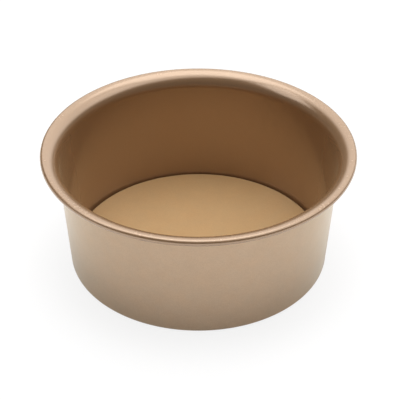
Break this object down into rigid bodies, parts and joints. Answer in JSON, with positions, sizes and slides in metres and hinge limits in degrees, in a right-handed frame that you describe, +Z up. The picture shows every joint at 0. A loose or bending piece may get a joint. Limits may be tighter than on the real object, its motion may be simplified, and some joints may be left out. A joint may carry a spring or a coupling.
{
  "type": "round cake tin",
  "caption": "Round deep cake tin with a flared, rolled rim, a tapered wall and a loose base that lifts out.",
  "frame": {"origin": "on the table under the middle of the tin, where its foot stands", "axes": "+Z up along the tin's axis, out of its open mouth; the tin is round, so +X and +Y are alike"},
  "size_m": [0.172, 0.172, 0.07],
  "materials": {
    "gold_coat": "satin champagne gold non-stick coat with a fine metallic grain, on sheet steel"
  },
  "bodies": {
    "wall": {"tin_wall": "gold_coat"},
    "base": {"loose_base": "gold_coat"}
  },
  "joints": [
    {"name": "base_lift", "type": "slide", "parent": "wall", "child": "base", "axis": [0, 0, 1], "range_m": [0, 0.085]}
  ]
}
